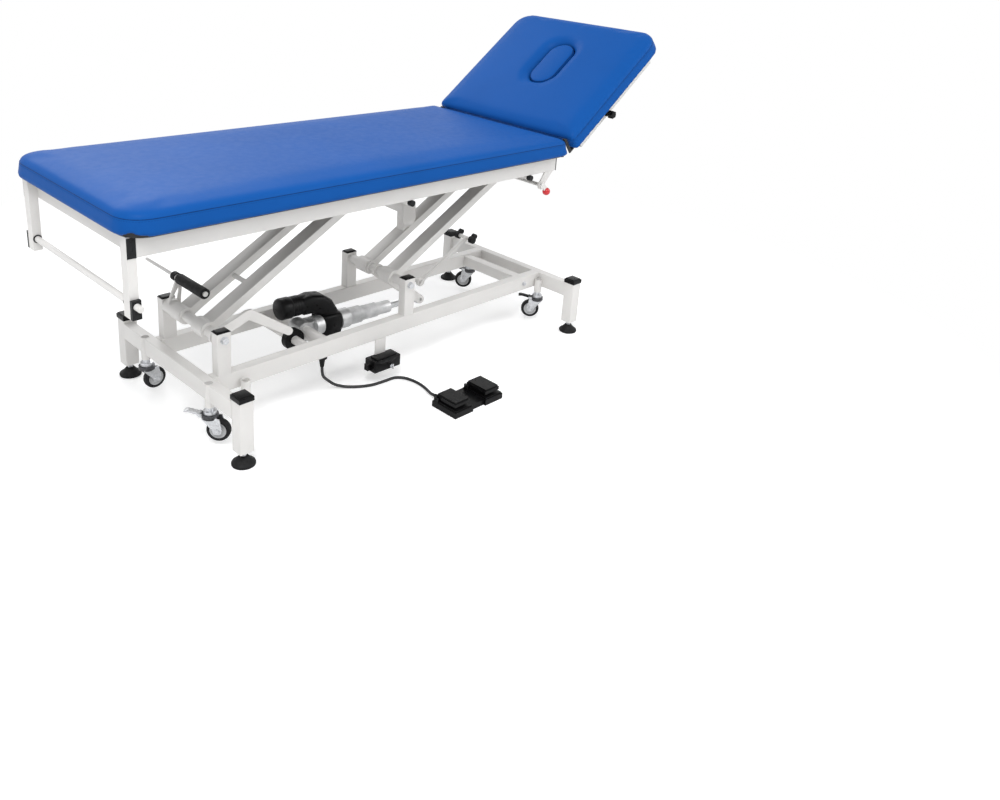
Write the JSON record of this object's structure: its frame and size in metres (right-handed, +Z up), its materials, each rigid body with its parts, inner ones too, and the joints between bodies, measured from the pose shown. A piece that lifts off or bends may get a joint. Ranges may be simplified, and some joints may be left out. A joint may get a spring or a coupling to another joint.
{
  "type": "examination table",
  "caption": "Height-adjustable examination table: padded bed with a raised head section and face hole, on parallel lifting arms with an electric actuator, foot control and retractable castors.",
  "frame": {"origin": "on the floor, below the middle of the table's length and width, without the foot control and its cord", "axes": "+X from the foot end towards the head end, +Y towards the far side, +Z up"},
  "size_m": [1.9492, 0.839, 1.0403],
  "materials": {
    "frame": "semi-gloss powder coat, off-white",
    "vinyl": "matt blue upholstery vinyl",
    "board": "black-stained plywood",
    "black_plastic": "matt black plastic",
    "black_rubber": "black rubber",
    "zinc": "bright zinc-plated steel",
    "casting": "cast aluminium, satin",
    "black_paint": "black paint",
    "tyre": "black rubber tyre on a grey hub",
    "grey_tyre": "grey rubber tyre on a grey hub",
    "red": "glossy red plastic",
    "white": "white plastic sleeve",
    "cord": "black flexible cord"
  },
  "bodies": {
    "base": {"side_rail_near": "frame", "side_rail_far": "frame", "foot_cross_bar": "frame", "head_cross_bar": "frame", "inner_cross_tubes": "frame", "legs": "frame", "posts": "frame", "end_caps": "black_plastic", "castor_tubes": "frame", "frame_bolts": "zinc", "control_box": "black_plastic", "strain_relief": "black_plastic", "foot_cord": "cord", "pedal_unit": "black_plastic"},
    "castor_lift": {"castor_stems": "zinc"},
    "foot_arm_pair": {"foot_arms": "frame"},
    "head_arm_pair": {"head_arms": "frame", "bent_beam": "frame"},
    "top": {"top_rail_near": "frame", "top_rail_far": "frame", "top_cross_rails": "frame", "top_plugs": "black_plastic", "hinge_plates": "black_paint", "roll_uprights": "frame", "main_board": "board", "main_cushion": "vinyl"},
    "actuator": {"actuator_body": "casting", "actuator_motor": "black_paint"},
    "ram": {"actuator_rod": "zinc"},
    "lever": {"lift_lever": "frame", "lever_grip": "black_rubber"},
    "link": {"lift_link": "frame"},
    "foot_bar": {"pedal_bar": "frame", "pedal_pads": "black_rubber"},
    "release": {"release_lever": "frame", "release_ball": "red"},
    "roll": {"roll_rod": "white"},
    "head": {"head_frame": "frame", "head_board": "board", "head_cushion": "vinyl"},
    "plug": {"face_plug": "vinyl"},
    "knob": {"head_knob": "black_plastic"},
    "key": {"box_key": "zinc"},
    "left_pedal": {"pedal_left": "black_plastic"},
    "right_pedal": {"pedal_right": "black_plastic"},
    "foot_1": {"levelling_foot_1": "black_rubber"},
    "foot_2": {"levelling_foot_2": "black_rubber"},
    "foot_3": {"levelling_foot_3": "black_rubber"},
    "foot_4": {"levelling_foot_4": "black_rubber"},
    "fork_1": {"castor_fork_1": "zinc"},
    "wheel_1": {"castor_wheel_1": "tyre"},
    "brake_1": {"castor_brake_1": "zinc"},
    "fork_2": {"castor_fork_2": "zinc"},
    "wheel_2": {"castor_wheel_2": "grey_tyre"},
    "fork_3": {"castor_fork_3": "zinc"},
    "wheel_3": {"castor_wheel_3": "tyre"},
    "brake_3": {"castor_brake_3": "black_plastic"},
    "fork_4": {"castor_fork_4": "zinc"},
    "wheel_4": {"castor_wheel_4": "tyre"},
    "brake_4": {"castor_brake_4": "black_plastic"}
  },
  "joints": [
    {"name": "foot_screw_1", "type": "slide", "parent": "base", "child": "foot_1", "axis": [0, 0, -1], "range_m": [0, 0.02]},
    {"name": "foot_screw_2", "type": "slide", "parent": "base", "child": "foot_2", "axis": [0, 0, -1], "range_m": [0, 0.02]},
    {"name": "foot_screw_3", "type": "slide", "parent": "base", "child": "foot_3", "axis": [0, 0, -1], "range_m": [0, 0.02]},
    {"name": "foot_screw_4", "type": "slide", "parent": "base", "child": "foot_4", "axis": [0, 0, -1], "range_m": [0, 0.02]},
    {"name": "castor_slide", "type": "slide", "parent": "base", "child": "castor_lift", "axis": [0, 0, -1], "range_m": [0, 0.021]},
    {"name": "swivel_1", "type": "hinge", "parent": "castor_lift", "child": "fork_1", "pos_m": [-0.71213, -0.1735, 0.1], "axis": [0, 0, 1], "continuous": true},
    {"name": "wheel_spin_1", "type": "hinge", "parent": "fork_1", "child": "wheel_1", "pos_m": [-0.69741, -0.18985, 0.045], "axis": [0.7431, 0.6691, 0], "continuous": true},
    {"name": "brake_press_1", "type": "hinge", "parent": "fork_1", "child": "brake_1", "pos_m": [-0.73019, -0.15343, 0.089], "axis": [-0.7431, -0.6691, 0], "range_deg": [0, 8], "stiffness_Nm_per_rad": 0.4},
    {"name": "swivel_2", "type": "hinge", "parent": "castor_lift", "child": "fork_2", "pos_m": [-0.71213, 0.1735, 0.1], "axis": [0, 0, 1], "continuous": true},
    {"name": "wheel_spin_2", "type": "hinge", "parent": "fork_2", "child": "wheel_2", "pos_m": [-0.69021, 0.17542, 0.045], "axis": [-0.0872, 0.9962, 0], "continuous": true},
    {"name": "swivel_3", "type": "hinge", "parent": "castor_lift", "child": "fork_3", "pos_m": [0.58787, -0.1735, 0.1], "axis": [0, 0, 1], "continuous": true},
    {"name": "wheel_spin_3", "type": "hinge", "parent": "fork_3", "child": "wheel_3", "pos_m": [0.57315, -0.15715, 0.045], "axis": [-0.7431, -0.6691, 0], "continuous": true},
    {"name": "brake_press_3", "type": "hinge", "parent": "fork_3", "child": "brake_3", "pos_m": [0.56981, -0.15343, 0.089], "axis": [-0.7431, -0.6691, 0], "range_deg": [0, 8], "stiffness_Nm_per_rad": 0.4},
    {"name": "swivel_4", "type": "hinge", "parent": "castor_lift", "child": "fork_4", "pos_m": [0.58787, 0.1735, 0.1], "axis": [0, 0, 1], "continuous": true},
    {"name": "wheel_spin_4", "type": "hinge", "parent": "fork_4", "child": "wheel_4", "pos_m": [0.57315, 0.18985, 0.045], "axis": [-0.7431, -0.6691, 0], "continuous": true},
    {"name": "brake_press_4", "type": "hinge", "parent": "fork_4", "child": "brake_4", "pos_m": [0.56981, 0.19356, 0.089], "axis": [-0.7431, -0.6691, 0], "range_deg": [0, 8], "stiffness_Nm_per_rad": 0.4},
    {"name": "lift", "type": "hinge", "parent": "base", "child": "head_arm_pair", "pos_m": [-0.01913, 0, 0.278], "axis": [0, -1, 0], "range_deg": [-23, 25]},
    {"name": "foot_arm_turn", "type": "hinge", "parent": "base", "child": "foot_arm_pair", "pos_m": [-0.65813, 0, 0.278], "axis": [0, -1, 0], "range_deg": [-23.5, 25.5]},
    {"name": "top_level", "type": "hinge", "parent": "head_arm_pair", "child": "top", "pos_m": [0.48144, 0, 0.567], "axis": [0, -1, 0], "range_deg": [-25.5, 23.5]},
    {"name": "actuator_turn", "type": "hinge", "parent": "base", "child": "actuator", "pos_m": [-0.30213, 0.012, 0.145], "axis": [0, -1, 0], "range_deg": [-14, 14]},
    {"name": "ram_slide", "type": "slide", "parent": "actuator", "child": "ram", "axis": [0.9994, 0, -0.0359], "range_m": [-0.068, 0.068]},
    {"name": "castor_lever", "type": "hinge", "parent": "base", "child": "lever", "pos_m": [-0.65813, 0, 0.278], "axis": [0, -1, 0], "range_deg": [0, 55]},
    {"name": "link_turn", "type": "hinge", "parent": "base", "child": "link", "pos_m": [-0.65813, 0, 0.278], "axis": [0, -1, 0], "range_deg": [-1, 6]},
    {"name": "foot_bar_turn", "type": "hinge", "parent": "base", "child": "foot_bar", "pos_m": [0.23087, 0.065, 0.155], "axis": [0, -1, 0], "range_deg": [-9, 1]},
    {"name": "release_turn", "type": "hinge", "parent": "top", "child": "release", "pos_m": [0.42644, -0.15, 0.561], "axis": [0, 1, 0], "range_deg": [0, 20], "stiffness_Nm_per_rad": 1.2, "springref_deg": -14.32},
    {"name": "roll_slide", "type": "slide", "parent": "top", "child": "roll", "axis": [0, -1, 0], "range_m": [0, 0.43]},
    {"name": "head_hinge", "type": "hinge", "parent": "top", "child": "head", "pos_m": [0.50944, 0, 0.704], "axis": [0, -1, 0], "range_deg": [-37, 30]},
    {"name": "plug_lift", "type": "slide", "parent": "head", "child": "plug", "axis": [-0.6018, 0, 0.7986], "range_m": [0, 0.12]},
    {"name": "knob_spin", "type": "hinge", "parent": "head", "child": "knob", "pos_m": [0.73308, -0.283, 0.77111], "axis": [0, -1, 0], "continuous": true},
    {"name": "key_turn", "type": "hinge", "parent": "base", "child": "key", "pos_m": [-0.12613, -0.202, 0.056], "axis": [0, 1, 0], "range_deg": [0, 90]},
    {"name": "left_pedal_press", "type": "hinge", "parent": "base", "child": "left_pedal", "pos_m": [-0.07513, -0.413, 0.028], "axis": [1, 0, 0], "range_deg": [0, 4], "stiffness_Nm_per_rad": 6, "springref_deg": -6.88},
    {"name": "right_pedal_press", "type": "hinge", "parent": "base", "child": "right_pedal", "pos_m": [0.01487, -0.413, 0.028], "axis": [1, 0, 0], "range_deg": [0, 4], "stiffness_Nm_per_rad": 6, "springref_deg": -6.88}
  ],
  "couplings": [
    {"joint": "foot_arm_turn", "follows": "lift", "ratio": 1},
    {"joint": "top_level", "follows": "lift", "ratio": -1},
    {"joint": "actuator_turn", "follows": "lift", "ratio": 0.4116},
    {"joint": "ram_slide", "follows": "lift", "m_per_rad": 0.13998},
    {"joint": "castor_slide", "follows": "castor_lever", "m_per_rad": 0.021877},
    {"joint": "link_turn", "follows": "castor_lever", "ratio": 0.08},
    {"joint": "foot_bar_turn", "follows": "castor_lever", "ratio": -0.15}
  ]
}
